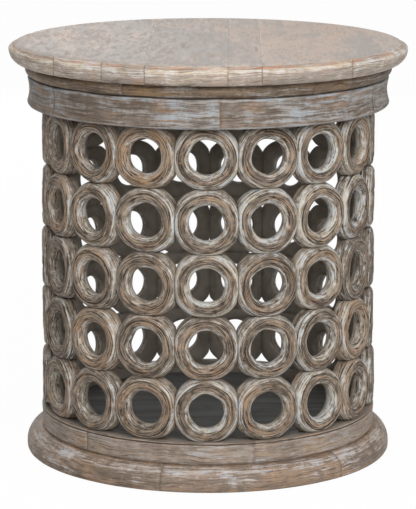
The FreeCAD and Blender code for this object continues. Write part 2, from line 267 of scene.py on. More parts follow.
def choose_grooves(rng):
    """Radius, width, depth and seed of each groove of one ring."""
    grooves = []
    for radii, depths in ((FINE_GROOVES, FINE_DEPTHS), (DEEP_GROOVES, DEEP_DEPTHS)):
        for radius in radii:
            place = radius + rng.uniform(-GROOVE_SHIFT, GROOVE_SHIFT)
            width = rng.uniform(*GROOVE_WIDTHS)
            grooves.append((place, width, rng.choice(depths), rng.uniform(0, 100)))
    return grooves


def groove_cut(radius, grooves):
    """How deep the grooves cut at one radius."""
    return sum(deep * math.exp(-(((radius - place) / width) ** 2)) for place, width, deep in grooves)


def ring_wear(radius, depth, cut, beside, tone, inside):
    """Recess, wear, lime and inside at one point of a ring: the lime stays off its crest."""
    recess = clamp(cut / GROOVE_BLACKEST)
    worn = clamp(1 - depth / WORN_DEPTH)
    shoulder = clamp((radius - SHOULDER_RADIUS) / SHOULDER_BLEND)
    shoulder *= clamp(1 - (depth - LIMED_DEPTH) / LIMED_BLEND)
    flank = clamp((FLANK_RADIUS - radius) / FLANK_BLEND)
    lime = ALL_TONE * tone + (FLANK_LIME + FLANK_TONE * tone) * flank
    lime += shoulder * (SHOULDER_LIME + SHOULDER_TONE * tone + SHOULDER_BESIDE * beside)
    return recess, worn, clamp(lime), inside


def add_ring(solid, rng, low, high, lean, turn):
    """One ring between two levels: a little out of true, and flat where it meets its neighbours."""
    grooves = choose_grooves(rng)
    seed = rng.uniform(0, 100)
    # Painted light and shade: the tone gets more lime on the right-hand columns and less towards both
    # sides
    tone = clamp(rng.uniform(0, 1) + PAINTED_RIGHT_LIGHT * math.sin(turn) - PAINTED_SIDE_SHADE * math.sin(turn) ** 2)
    lead = lean + rng.uniform(-FACE_LEAD, FACE_LEAD)
    tilt_across = rng.uniform(-FACE_TILT, FACE_TILT)
    tilt_up = rng.uniform(-FACE_TILT, FACE_TILT)
    off_across = rng.uniform(-OFF_CENTRE, OFF_CENTRE)
    off_up = rng.uniform(-OFF_CENTRE, OFF_CENTRE)
    outward = Vector((math.sin(turn), -math.cos(turn), 0))
    sideways = Vector((math.cos(turn), math.sin(turn), 0))
    half_slope = math.tan(COLUMN_STEP / 2)
    first = len(solid.places)
    for step in range(RING_STEPS):
        angle = 2 * math.pi * step / RING_STEPS
        across = math.cos(angle)
        up = math.sin(angle)
        level_limit = (high - low) / 2 / max(abs(up), LEAST_SHARE)
        shift = OUT_OF_ROUND * wave_round(across, up, ROUND_WAVES, seed)
        shift += off_across * across + off_up * up
        wave = FACE_WAVE * wave_round(across, up, FACE_WAVES, seed + 7)
        chip = max(wave_round(across, up, CHIP_WAVES, seed + 13) - CHIP_FROM, 0) * CHIP_DEPTH
        cuts = []
        for groove_radius, width, deep, own in grooves:
            swing = STRENGTH_SWING * wave_round(across, up, STRENGTH_WAVES, own)
            strength = clamp(GROOVE_STRENGTH + swing)
            wander = GROOVE_WANDER * wave_round(across, up, WANDER_WAVES, own + 50)
            cuts.append((groove_radius + wander, width, deep * strength))
        for radius, depth, inside in RING_OUTLINE:
            cut = groove_cut(radius, cuts) if depth < GROOVED_DEPTH else 0
            wear_and_painted_light = ring_wear(radius, depth, cut, across * across, tone, inside)
            far = radius + shift
            front_share = 1 - depth / RING_DEPTH
            back = depth + cut + wear_and_painted_light[1] * chip
            back += front_share * (wave + far * (tilt_across * across + tilt_up * up) - lead)
            side_limit = (FACE_RADIUS - back) * half_slope / max(abs(across), LEAST_SHARE)
            far = soft_min(far, min(side_limit, level_limit), FLAT_BLEND)
            place = outward * (FACE_RADIUS - back) + sideways * (far * across)
            grain = (across * CROWN_RADIUS + seed, up * CROWN_RADIUS, radius)
            solid.add((place.x, place.y, (low + high) / 2 + far * up), grain, depth + seed, wear_and_painted_light)
    solid.weave(first, RING_STEPS, len(RING_OUTLINE), closed=True)


def add_ring_columns(material):
    """The lattice: one piece to a column, each ring a closed mesh of its own."""
    rng = random.Random(RING_SEED)
    joints = [DRUM_BOTTOM + RING_PITCH * row - drop for row, drop in enumerate(JOINT_DROPS)]
    for index, node in enumerate(COLUMN_NODES):
        solid = Solid()
        for low, high, lean in zip(joints, joints[1:], ROW_LEANS):
            add_ring(solid, rng, low, high, lean, COLUMN_STEP * index)
        add_piece(f"turned_rings_{index + 1:02d}", solid, "ring_wood", node, material)


# Mouldings: an outline swept round part of a circle

SWEEP_STEP = math.radians(1.2)
SCRAPE = 0.4 * MM
SCRAPE_WAVES = 7
SCRAPES_UP = 50
DENT_DEPTH = 0.9 * MM
DENT_FROM = 0.3
DENTS_ROUND = 45
DENTS_UP = 160
SEAM_WANDER = 1.1 * MM
SEAM_WAVES = 5
WASH_LEVEL = 0.4
WASH_TONE = 0.1
WASH_SWING = 0.5
WASH_WAVES = 4
WASHES_UP = 90
END_LIME_RANGE = (-1, 0.8)
END_LIME_REACH = math.radians(6)


def spot(radius, level, recess=0.0, worn=0.0, lime=0.0, inside=0.0, wander=0.0):
    """One point of an outline, with its paint and its share of the wandering joint under the bead."""
    return radius, level, recess, worn, lime, inside, wander


def add_moulding(name, outline, start, rng, slot, node, material):
    """One curved segment, slightly uneven by hand, with dents along its worn edges."""
    seed = rng.uniform(0, 100)
    tone = rng.uniform(0, 1)
    end_lime = max(rng.uniform(*END_LIME_RANGE), 0)
    steps = round(SEGMENT_STEP / SWEEP_STEP)
    solid = Solid()
    for step in range(steps + 1):
        turn = start + SEGMENT_STEP * step / steps
        aside = math.sin(turn)
        ahead = math.cos(turn)
        wash = WASH_SWING * wave_round(aside, ahead, WASH_WAVES, outline[0][1] * WASHES_UP)
        wash += WASH_LEVEL + WASH_TONE * tone
        wash += end_lime * math.exp(-(((start + SEGMENT_STEP - turn) / END_LIME_REACH) ** 2))
        joint = SEAM_WANDER * wave_round(aside, ahead, SEAM_WAVES, 0)
        for radius, level, recess, worn, lime, inside, wander in outline:
            uneven = SCRAPE * wave_round(aside, ahead, SCRAPE_WAVES, level * SCRAPES_UP)
            dent = max(wavy(turn * DENTS_ROUND, level * DENTS_UP, seed + 5) - DENT_FROM, 0)
            far = radius + (uneven - dent * DENT_DEPTH * worn) * (1 - inside)
            grain = (radius * (turn - start) + seed, 0, level)
            place = (far * aside, -far * ahead, level + joint * wander)
            solid.add(place, grain, radius + seed, (recess, worn, clamp(wash + lime), inside))
    count = len(outline)
    solid.weave(0, steps + 1, count, closed=False)
    solid.faces.append(tuple(range(count)))
    solid.faces.append(tuple(range(steps * count, (steps + 1) * count)))
    add_piece(name, solid, slot, node, material)


def add_ring_of_segments(prefix, name, outline, seam, seed, slot, material):
    """All segments of one moulded ring."""
    rng = random.Random(seed)
    for index, node in enumerate(nodes_named(prefix)):
        start = seam + SEGMENT_STEP * index
        add_moulding(f"{name}_{index + 1}", outline, start, rng, slot, node, material)


def bow(start, finish, rise, count, **paint):
    """Points between two corners of an outline on a shallow curve, bulging out by rise."""
    points = []
    for step in range(1, count):
        share = step / count
        radius = start[0] + (finish[0] - start[0]) * share + rise * math.sin(math.pi * share)
        points.append(spot(radius, start[1] + (finish[1] - start[1]) * share, **paint))
    return points


def arc(centre, across, up, first, last, count, **paint):
    """Points of an elliptical arc about a centre, from one angle to another, in degrees."""
    points = []
    for step in range(count + 1):
        turn = math.radians(first + (last - first) * step / count)
        radius = centre[0] + across * math.cos(turn)
        points.append(spot(radius, centre[1] + up * math.sin(turn), **paint))
    return points


def apron_outline():
    """The hollowed band, with a rolled lower edge that hangs a little below the rings' tops."""
    roll = 5 * MM
    waist = 2.4 * MM
    drop = 2.2 * MM
    radius = APRON_RADIUS - 0.8 * MM
    roll_centre = (radius - roll, APRON_LOW - drop + roll)
    low_corner = (radius, APRON_LOW - drop + roll)
    high_corner = (APRON_RADIUS - 1.5 * MM, APRON_HIGH - 2.2 * MM)
    return [
        spot(INNER_RADIUS, APRON_LOW, inside=1),
        spot(FACE_RADIUS + 3 * MM, APRON_LOW, inside=0.5),
        *arc(roll_centre, roll, roll, -90, -60, 2, worn=0.2),
        # Lime on the roll's underside, partly lime and partly a painted sheen of light from the floor
        *arc(roll_centre, roll, roll, -45, -30, 1, lime=0.6),
        *arc(roll_centre, roll, roll, -15, 0, 1, worn=0.3),
        *bow(low_corner, high_corner, -waist, 9),
        spot(*high_corner, lime=0.7, wander=1),
        spot(APRON_RADIUS - 2.4 * MM, APRON_HIGH - 1.2 * MM, lime=0.7, wander=1),
        spot(APRON_RADIUS - 4.5 * MM, APRON_HIGH, recess=1, wander=1),
        spot(INNER_RADIUS, APRON_HIGH, inside=1),
    ]


def bead_outline():
    """The bead under the top."""
    bulge = 4.5 * MM
    edge = BEAD_RADIUS - bulge
    low_corner = (edge, BEAD_LOW + 1 * MM)
    high_corner = (edge, BEAD_HIGH)
    return [
        spot(INNER_RADIUS, BEAD_LOW, inside=1),
        spot(edge - 2 * MM, BEAD_LOW, recess=1, wander=1),
        spot(*low_corner, recess=0.8, wander=1),
        *bow(low_corner, high_corner, bulge, 9, worn=0.2),
        spot(*high_corner, recess=0.2),
        spot(INNER_RADIUS, BEAD_HIGH, inside=1),
    ]


def plinth_outline():
    """The plain band under the rings, with a fine groove below its thin lip."""
    groove = PLINTH_HIGH - 2.6 * MM
    band_top = groove - 0.9 * MM
    return [
        spot(INNER_RADIUS, PLINTH_LOW, inside=1),
        spot(PLINTH_RADIUS, PLINTH_LOW, recess=0.1),
        *bow((PLINTH_RADIUS, PLINTH_LOW), (PLINTH_RADIUS, band_top), -0.6 * MM, 7),
        spot(PLINTH_RADIUS, band_top, lime=0.3),
        spot(PLINTH_RADIUS - 0.3 * MM, groove - 0.5 * MM, recess=0.9),
        spot(PLINTH_RADIUS - 1.2 * MM, groove, recess=1),
        spot(PLINTH_RADIUS - 0.3 * MM, groove + 0.7 * MM, recess=0.7, worn=0.3),
        spot(PLINTH_RADIUS, groove + 1.2 * MM, worn=0.9, lime=0.3),
        spot(PLINTH_RADIUS - 0.2 * MM, PLINTH_HIGH - 0.5 * MM, worn=0.6),
        spot(PLINTH_RADIUS - 1 * MM, PLINTH_HIGH, recess=0.5),
        spot(FACE_RADIUS, PLINTH_HIGH, inside=0.6),
        spot(INNER_RADIUS, PLINTH_HIGH, inside=1),
    ]


def foot_outline():
    """The bullnose on the floor, with a painted contact shadow along its floor edge."""
    inner = FOOT_RADIUS - 78 * MM
    bulge = 8 * MM
    centre = (PLINTH_RADIUS - 4 * MM, bulge)
    across = FOOT_RADIUS - centre[0]
    up = PLINTH_LOW - bulge
    return [
        spot(inner, 0, inside=1),
        # Painted contact shadow: the recess colour darkens the foot's edge where it meets the floor
        spot(FOOT_RADIUS - 0.9 * MM, 0, recess=0.7),
        spot(FOOT_RADIUS - 0.3 * MM, 0.8 * MM, worn=0.6),
        spot(FOOT_RADIUS, 4 * MM, worn=0.2),
        *arc(centre, across, up, 0, 32, 6),
        # Lime on the shoulder, raised partly as a painted highlight where the top light falls
        *arc(centre, across, up, 38, 62, 4, lime=0.45),
        *arc(centre, across, up, 66, 72, 1, worn=0.3, lime=0.4),
        *arc(centre, across, up, 75, 80, 1, worn=1),
        spot(centre[0], PLINTH_LOW, recess=0.3),
        spot(inner, PLINTH_LOW, inside=1),
    ]


# Top boards: one disc with a rounded edge, an arris and a nose that turns under, sawn along the joints

BOARD_SEED = 5
NOSE_DEPTH = 16.5 * MM
NOSE_DROP = 8.5 * MM
NOSE_STEPS = 8
ARRIS_INSET = 5.2 * MM
ARRIS_DROP = 4.2 * MM
ARRIS_CURVE = 2.4
ARRIS_STEP = 0.7 * MM
ARRIS_WEAR = 3.6 * MM
ARRIS_WAVES = 9
ARRIS_SEED = 3
ARRIS_WORN = 0.85
ARRIS_SWING = 1.5
ARRIS_FRONT = 2
NOSE_EDGE = 3 * MM
ROUND_STEPS = 4
FLAT_RADIUS = TOP_RADIUS - NOSE_DEPTH
ARRIS_RADIUS = TOP_RADIUS - ARRIS_INSET
NOSE_LEVEL = TOP_HIGH - NOSE_DROP
DISC_STEPS = 180
DISC_RINGS = 14
DISC_UNEVEN = 0.0012
DISC_WAVES = 3
DISC_WAVES_UP = 40
RIM_SHARE = 0.98
BOARD_LIME = 0.2
NOSE_LIME_AND_HIGHLIGHT = 0.55
UNDER_LIME = 0.15
GRAIN_SLOPE = 3
JOINT_EASE = 0.3 * MM
JOINT_WIDTH = 1.2 * MM
JOINT_TOLERANCE = 0.05 * MM
FLAT_JOINT_RECESS = (0.2, 0.3, 0.8)
NOSE_JOINT_RECESS = 0.65


def top_outline():
    """Radius and level of the top, from near its middle over the nose to its underside."""
    points = [(FLAT_RADIUS * ring / DISC_RINGS, TOP_HIGH) for ring in range(1, DISC_RINGS + 1)]
    for step in range(1, ROUND_STEPS + 1):
        share = step / ROUND_STEPS
        radius = FLAT_RADIUS + (ARRIS_RADIUS - FLAT_RADIUS) * share
        points.append((radius, TOP_HIGH - ARRIS_DROP * share ** ARRIS_CURVE))
    start = ARRIS_RADIUS + ARRIS_STEP / 2
    upper = TOP_HIGH - ARRIS_DROP - ARRIS_STEP - NOSE_LEVEL
    lower = NOSE_LEVEL - TOP_LOW
    for step in range(NOSE_STEPS):
        turn = math.pi / 2 * (1 - step / NOSE_STEPS)
        radius = start + (TOP_RADIUS - start) * math.cos(turn)
        points.append((radius, NOSE_LEVEL + upper * math.sin(turn)))
    for step in range(NOSE_STEPS + 1):
        turn = math.pi / 2 * step / NOSE_STEPS
        points.append((FLAT_RADIUS + NOSE_DEPTH * math.cos(turn), NOSE_LEVEL - lower * math.sin(turn)))
    points.append((FLAT_RADIUS / 2, TOP_LOW))
    return points


def turned_disc(outline):
    """A round solid from an outline that starts and ends near the axis."""
    shape = bmesh.new()
    rims = []
    for radius, level in outline:
        rim = []
        for step in range(DISC_STEPS):
            turn = 2 * math.pi * step / DISC_STEPS
            aside = math.sin(turn)
            ahead = math.cos(turn)
            uneven = DISC_UNEVEN * wave_round(ahead, aside, DISC_WAVES, DISC_WAVES_UP * level)
            far = radius * (1 + uneven)
            rim.append(shape.verts.new((far * aside, far * ahead, level)))
        rims.append(rim)
    for rim, following in zip(rims, rims[1:]):
        for step in range(DISC_STEPS):
            after = (step + 1) % DISC_STEPS
            shape.faces.new((rim[step], rim[after], following[after], following[step]))
    for rim, level in ((rims[0], outline[0][1]), (rims[-1], outline[-1][1])):
        middle = shape.verts.new((0, 0, level))
        for step in range(DISC_STEPS):
            shape.faces.new((rim[step], rim[(step + 1) % DISC_STEPS], middle))
    return shape


def saw(shape, place, keep_right):
    """Cut a solid at a plane across X, close the cut, and add a line of points just beside it."""
    side = -1 if keep_right else 1
    for x, clear in ((place - side * JOINT_WIDTH, False), (place, True)):
        everything = shape.verts[:] + shape.edges[:] + shape.faces[:]
        cut = bmesh.ops.bisect_plane(
            shape, geom=everything, plane_co=(x, 0, 0), plane_no=(side, 0, 0), clear_outer=clear
        )
    edges = [item for item in cut["geom_cut"] if isinstance(item, bmesh.types.BMEdge)]
    bmesh.ops.holes_fill(shape, edges=edges, sides=0)


def board_point(solid, place, at_joint, seed, tone, seam):
    """Add one point of a board, eased where it lies on a joint and worn along the arris."""
    far = math.hypot(place.x, place.y)
    turn = math.atan2(place.x, -place.y)
    nose = clamp((far - FLAT_RADIUS) / NOSE_DEPTH)
    raised = place.z > NOSE_LEVEL
    arris = 1 - clamp(abs(far - ARRIS_RADIUS - ARRIS_STEP / 2) / ARRIS_WEAR) if raised else 0
    rubbed = ARRIS_SWING * wave_round(math.sin(turn), math.cos(turn), ARRIS_WAVES, ARRIS_SEED)
    arris *= clamp(ARRIS_WORN + rubbed) * clamp(ARRIS_FRONT * abs(math.cos(turn)))
    # More lime on the upper nose, partly a painted highlight where the light falls on it, and less under
    # it
    lime = clamp(BOARD_LIME * tone + (NOSE_LIME_AND_HIGHLIGHT if raised else UNDER_LIME) * nose)
    grain = (TOP_RADIUS * turn + seed, 0, place.z - far / GRAIN_SLOPE)
    eased = place.copy()
    recess = 0
    if at_joint:
        eased.xy *= 1 - JOINT_EASE * nose / max(far, MM)
        recess = seam + (NOSE_JOINT_RECESS - seam) * nose
    solid.add(eased, grain, seed, (recess, arris, lime, 0))


def add_top_boards(flat_material, nose_material):
    """The boards, each with eased edges along its joints."""
    rng = random.Random(BOARD_SEED)
    outline = top_outline()
    for index, node in enumerate(nodes_named("top_board")):
        low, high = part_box(node)
        cuts = [(low.x, True), (high.x, False)]
        shape = turned_disc(outline)
        for place, keep_right in cuts:
            if abs(place) < TOP_RADIUS * RIM_SHARE:
                saw(shape, place, keep_right)
        seed = rng.uniform(0, 100)
        tone = rng.uniform(0, 1)
        seam = rng.choice(FLAT_JOINT_RECESS)
        solid = Solid()
        for vert in shape.verts:
            at_joint = min(abs(vert.co.x - place) for place, _ in cuts) < JOINT_TOLERANCE
            board_point(solid, vert.co, at_joint, seed, tone, seam)
        shape.verts.index_update()
        solid.faces = [tuple(vert.index for vert in face.verts) for face in shape.faces]
        shape.free()
        name = f"limed_board_{index + 1}"
        piece = add_piece(name, solid, "top_wood", node, flat_material, nose_material)
        for face in piece.data.polygons:
            outer = math.hypot(face.center.x, face.center.y) > ARRIS_RADIUS - NOSE_EDGE
            face.material_index = 1 if outer or face.center.z < NOSE_LEVEL else 0


# Materials

NOISE_ROUGHNESS = 0.6
TONE_SPREAD = 2.0
WARP_SCALE = 22
SPOT_CORE = 0.2
BUMP_STRENGTH = 0.8
SPECULAR = 0.25


def linear(code):
    """A colour written as #rrggbb, for a shader."""
    shades = [int(code[start:start + 2], 16) / 255 for start in (1, 3, 5)]
    return (*(s / 12.92 if s <= 0.04045 else ((s + 0.055) / 1.055) ** 2.4 for s in shades), 1)


class Graph:
    """The node tree of a material or world, built up by short calls."""

    def __init__(self, owner, stretch=1.0):
        """Patches are drawn out that many times along Y."""
        owner.use_nodes = True
        self.owner = owner
        self.tree = owner.node_tree
        self.tree.nodes.clear()
        self.patch_scale = (1.0, 1 / stretch, 1.0)

    def feed(self, socket, value):
        """Set a socket, or link another one to it."""
        if isinstance(value, bpy.types.NodeSocket):
            self.tree.links.new(value, socket)
        else:
            socket.default_value = value

    def node(self, kind, inputs, **settings):
        """A node with its settings and inputs, and its outputs."""
        made = self.tree.nodes.new(f"ShaderNode{kind}")
        for key, value in settings.items():
            setattr(made, key, value)
        for key, value in inputs.items():
            self.feed(made.inputs[key], value)
        return made.outputs

    def calc(self, operation, first, second):
        """Arithmetic on two values."""
        return self.node("Math", {0: first, 1: second}, operation=operation)[0]

    def vector(self, operation, first, second):
        """Arithmetic on two vectors."""
        return self.node("VectorMath", {0: first, 1: second}, operation=operation)[0]

    def between(self, value, low, high):
        """How far a value has come from low to high, eased at both ends."""
        inputs = {"Value": value, "From Min": low, "From Max": high}
        return self.node("MapRange", inputs, interpolation_type="SMOOTHSTEP")[0]

    def mix(self, share, first, second):
        """Two colours mixed."""
        return self.node("Mix", {0: share, 6: first, 7: second}, data_type="RGBA")[2]

    def attribute(self, name):
        """Values stored on the mesh."""
        return self.node("Attribute", {}, attribute_name=name)

    def object_place(self):
        """The place on the piece, in metres."""
        return self.node("TexCoord", {})["Object"]

    def stored_grain(self):
        """The place in the grain that the mesh stores, and the depth under its surface."""
        return self.attribute("grain")["Vector"], self.attribute("grain_depth")["Fac"]

    def level_grain(self, lengthwise):
        """The place in the grain of a flat board that runs along X (0) or Y (1)."""
        place = self.node("SeparateXYZ", {0: self.object_place()})
        return self.node("CombineXYZ", {0: place[lengthwise], 2: place[1 - lengthwise]})[0], place[2]

    def warped(self, grain, amount):
        """A place in the grain, pushed across it here and there so that the streaks waver."""
        swing = self.calc("SUBTRACT", self.patches(WARP_SCALE, 8.0, 2.0), 0.5)
        offset = self.node("CombineXYZ", {2: self.calc("MULTIPLY", swing, 2 * amount)})[0]
        return self.vector("ADD", grain[0], offset), grain[1]

    def blend(self, *terms):
        """The sum of values, each times its weight."""
        total = 0.0
        for value, weight in terms:
            total = self.node("Math", {0: value, 1: weight, 2: total}, operation="MULTIPLY_ADD")[0]
        return total

    def noise_at(self, place, seed, scale, detail):
        """Noise at a place, different for each seed."""
        inputs = {"Vector": place, "W": seed, "Scale": scale, "Detail": detail}
        inputs["Roughness"] = NOISE_ROUGHNESS
        return self.node("TexNoise", inputs, noise_dimensions="4D")["Fac"]

    def streaks(self, grain, along, across, seed, detail=3.0):
        """Noise drawn out along the grain: features to a metre along it and across it."""
        place = self.vector("MULTIPLY", grain[0], (along, along, across))
        depth = self.calc("ADD", self.calc("MULTIPLY", grain[1], across), seed)
        return self.noise_at(place, depth, 1.0, detail)

    def patches(self, scale, seed, detail=4.0):
        """Noise that doesn't follow the grain."""
        place = self.vector("MULTIPLY", self.object_place(), self.patch_scale)
        return self.noise_at(place, seed, scale, detail)

    def own_tone(self):
        """A value that is about the same all over one ring, segment or board."""
        seed = self.calc("MULTIPLY", self.attribute("grain_depth")["Fac"], TONE_SPREAD)
        inputs = {"W": seed, "Scale": 1.0, "Detail": 0.0}
        return self.node("TexNoise", inputs, noise_dimensions="1D")["Fac"]

    def near(self, place, size):
        """1 at a place on a level board, fading to 0 at its half width and half length away from it."""
        away = self.vector("SUBTRACT", self.object_place(), place)
        scaled = self.vector("MULTIPLY", away, (1 / size[0], 1 / size[1], 0))
        distance = self.node("VectorMath", {0: scaled}, operation="LENGTH")["Value"]
        return self.between(distance, 1.0, SPOT_CORE)

    def close(self, colour, roughness, height, bump_depth):
        """The surface itself."""
        relief = {"Height": height, "Distance": bump_depth, "Strength": BUMP_STRENGTH}
        normal = self.node("Bump", relief)[0]
        inputs = {"Base Color": colour, "Roughness": roughness, "Normal": normal}
        inputs["Specular IOR Level"] = SPECULAR
        self.node("OutputMaterial", {"Surface": self.node("BsdfPrincipled", inputs)[0]})
        return self.owner

    def seen_directly(self):
        """1 for what is seen by the camera, in a mirror or through glass, and 0 for what only lights."""
        path = self.node("LightPath", {})
        seen = self.calc("MAXIMUM", path["Is Camera Ray"], path["Is Glossy Ray"])
        return self.calc("MAXIMUM", seen, path["Is Transmission Ray"])


# On the flat of the top the patches are drawn out along the boards
TOP_STRETCH = 2.8

# How fine each noise is beside a finish's own streaks and patches
BROAD_ALONG = 0.5
BROAD_ACROSS = 0.3
HAIR_ALONG = 1.5
HAIR_ACROSS = 1.9
BLOTCH_FINE = 0.25
FLECK_FINE = 3.2

# Where each noise starts to show in the finish, and where it shows in full
GROUND_RANGE = (0.44, 0.56)
GOLDEN_RANGE = (0.46, 0.62)
TINT_RANGE = (0.44, 0.56)
LINE_RANGE = (0.52, 0.6)
FLECK_RANGE = (0.58, 0.7)
FILL_RANGE = (0.56, 0.66)
STAIN_RANGE = (0.4, 0.62)
KNOT_RANGE = (0.35, 0.8)
ROUGH_RANGE = (-1.2, 1.0)

# How much each layer hides or shifts what is under it
LIME_COVER = 0.9
STORED_LIME = 0.16
STORED_WORN = -0.06
FLECK_COVER = 0.7
LINES_UNDER_LIME = 0.4
BARE_COVER = 0.8
FILL_COVER = 0.88
STAIN_COVER = 0.5


def limed_wood(
    name, colours, along, across, warp, mottle, streaky, golden, lime_range, bare_range, bump, scratched,
    varied, crisp=5.0, knots=None
):
    """Stained wood, limed and rubbed back: streaks along the grain, bare edges, dark recesses."""
    finish = Graph(bpy.data.materials.new(name), TOP_STRETCH if knots else 1.0)
    shade = {key: linear(code) for key, code in colours.items()}
    wear_and_painted_light = finish.attribute("wear_and_painted_light")
    recess, worn, lime = finish.node("SeparateColor", {0: wear_and_painted_light["Color"]})
    grain = finish.warped(finish.level_grain(1) if knots else finish.stored_grain(), warp)
    broad = finish.streaks(grain, along * BROAD_ALONG, across * BROAD_ACROSS, 1.0)
    fine = finish.streaks(grain, along, across, 2.0, crisp)
    hair = finish.streaks(grain, along * HAIR_ALONG, across * HAIR_ACROSS, 3.0)
    blotch = finish.patches(mottle * BLOTCH_FINE, 4.0, crisp)
    spots = finish.patches(mottle, 5.0, crisp)
    fleck = finish.patches(mottle * FLECK_FINE, 6.0, 2.0)
    own = finish.own_tone()

    # Stained ground, golden in patches
    half = (1 - varied) / 2
    quarter = half / 2
    ground = finish.blend((broad, half), (spots, quarter), (blotch, quarter), (own, varied))
    colour = finish.mix(finish.between(ground, *GROUND_RANGE), shade["brown"], shade["wood"])
    warm = finish.blend((blotch, half), (spots, quarter), (broad, quarter), (own, varied))
    warm = finish.calc("MULTIPLY", finish.between(warm, *GOLDEN_RANGE), golden)
    colour = finish.mix(warm, colour, shade["worn"])

    # Lime over it, partly a painted highlight where the stored lime is raised on the nose, the foot's
    # shoulder and the apron's roll, and dark lines that bite through the lime
    patchy = 1 - streaky
    wash = finish.blend((fine, streaky), (spots, 0.55 * patchy), (fleck, 0.45 * patchy))
    wash = finish.blend((wash, 1.0), (lime, STORED_LIME), (worn, STORED_WORN))
    limed = finish.between(wash, *lime_range)
    tint = finish.between(finish.blend((blotch, 0.5), (spots, 0.5)), *TINT_RANGE)
    chalk = finish.mix(tint, shade["cream"], shade["lime"])
    colour = finish.mix(finish.calc("MULTIPLY", limed, LIME_COVER), colour, chalk)
    lines = finish.calc("MULTIPLY", finish.between(hair, *LINE_RANGE), scratched)
    flecks = finish.calc("MULTIPLY", finish.between(fleck, *FLECK_RANGE), FLECK_COVER * scratched)
    bite = finish.node("Math", {0: limed, 1: -LINES_UNDER_LIME, 2: 1.0}, operation="MULTIPLY_ADD")[0]
    bitten = finish.calc("MULTIPLY", finish.calc("MAXIMUM", lines, flecks), bite)
    colour = finish.mix(bitten, colour, shade["dark"])

    # Bare edges, filled recesses and the stained inside; the recess at the foot's floor edge is a
    # painted contact shadow
    bared = finish.between(finish.blend((fine, 0.35), (spots, 0.3), (fleck, 0.35)), *bare_range)
    bared = finish.calc("MULTIPLY", bared, worn)
    colour = finish.mix(finish.calc("MULTIPLY", bared, BARE_COVER), colour, shade["worn"])
    filled = finish.mix(finish.between(fine, *FILL_RANGE), shade["groove"], shade["cream"])
    colour = finish.mix(finish.calc("MULTIPLY", recess, FILL_COVER), colour, filled)
    stained = finish.calc("MULTIPLY", finish.between(blotch, *STAIN_RANGE), STAIN_COVER)
    colour = finish.mix(wear_and_painted_light["Alpha"], colour, finish.mix(stained, shade["inner"], shade["brown"]))
    for place, size in knots or ():
        mark = finish.calc("MULTIPLY", finish.near(place, size), finish.between(fine, *KNOT_RANGE))
        colour = finish.mix(mark, colour, shade["knot"])

    height = finish.blend((fine, 0.5), (spots, 0.3), (hair, -0.4), (fleck, -0.2))
    return finish.close(colour, finish.between(limed, *ROUGH_RANGE), height, bump)


def ring_finish():
    """The turned rings: dark grooves, brown crests, grey-white lime in broken arcs."""
    colours = {
        "wood": "#9c9183", "brown": "#6e6256", "worn": "#9e754d", "lime": "#c5c9ca", "cream": "#c7bdad",
        "dark": "#211914", "groove": "#1c1510", "inner": "#a0988c",
    }
    return limed_wood(
        "limed_turned_wood", colours, along=42, across=480, warp=1.4 * MM, mottle=130, streaky=0.62,
        golden=0.55, lime_range=(0.505, 0.62), bare_range=(0.5, 0.6), bump=1.2 * MM, scratched=0.95,
        varied=0.15,
    )


def moulding_finish(name, colours, across, golden, lime_range, bare_range=(0.48, 0.58)):
    """Mouldings: streaks that follow the curve."""
    return limed_wood(
        name, colours, along=18, across=across, warp=6 * MM, mottle=80, streaky=0.62, golden=golden,
        lime_range=lime_range, bare_range=bare_range, bump=0.6 * MM, scratched=0.7, varied=0.05,
    )


def apron_finish():
    """The hollowed band: brown and blue-grey streaks."""
    colours = {
        "wood": "#7c7269", "brown": "#675a4f", "worn": "#966b3a", "lime": "#a2a9af", "cream": "#a39e98",
        "dark": "#4b4037", "groove": "#28201b", "inner": "#8d857b",
    }
    return moulding_finish(
        "limed_apron_wood", colours, across=330, golden=0.72, lime_range=(0.525, 0.69)
    )


def bead_finish():
    """The bead under the top: brown, with less lime."""
    colours = {
        "wood": "#7a6b5c", "brown": "#605245", "worn": "#8b6a40", "lime": "#a2a9ad", "cream": "#9b948b",
        "dark": "#3d332b", "groove": "#28201b", "inner": "#8d857b",
    }
    return moulding_finish(
        "limed_bead_wood", colours, across=360, golden=0.55, lime_range=(0.56, 0.68)
    )


def plinth_finish():
    """The plinth: brown, with a thin lime."""
    colours = {
        "wood": "#a09286", "brown": "#847669", "worn": "#9a7a55", "lime": "#acabac", "cream": "#a59b91",
        "dark": "#4d423a", "groove": "#211a15", "inner": "#8d857b",
    }
    return moulding_finish(
        "limed_plinth_wood", colours, across=400, golden=0.7, lime_range=(0.55, 0.68)
    )


def foot_finish():
    """The bullnose: cream lime on its shoulder, partly a painted highlight, a golden fold and a painted
    contact shadow along the floor.
    """
    colours = {
        "wood": "#8f8073", "brown": "#736558", "worn": "#a07b57", "lime": "#c0bfc1", "cream": "#b9ab9e",
        # The groove colour also paints the contact shadow along the foot's floor edge.
        "dark": "#4b3f36", "groove": "#7a5e40", "inner": "#8d857b",
    }
    return moulding_finish(
        "limed_foot_wood", colours, across=420, golden=0.48, lime_range=(0.58, 0.7)
    )


def nose_finish():
    """The nose of the top: cream lime over brown, lighter on its upper part partly as a painted
    highlight, with an orange worn arris.
    """
    colours = {
        "wood": "#b8ada2", "brown": "#a09489", "worn": "#b07446", "lime": "#d5d6d6", "cream": "#d8c5ab",
        "dark": "#66584c", "groove": "#58442f", "inner": "#6b5f55",
    }
    return moulding_finish(
        "limed_nose_wood", colours, across=440, golden=0.65, lime_range=(0.53, 0.65),
        bare_range=(0.45, 0.55),
    )


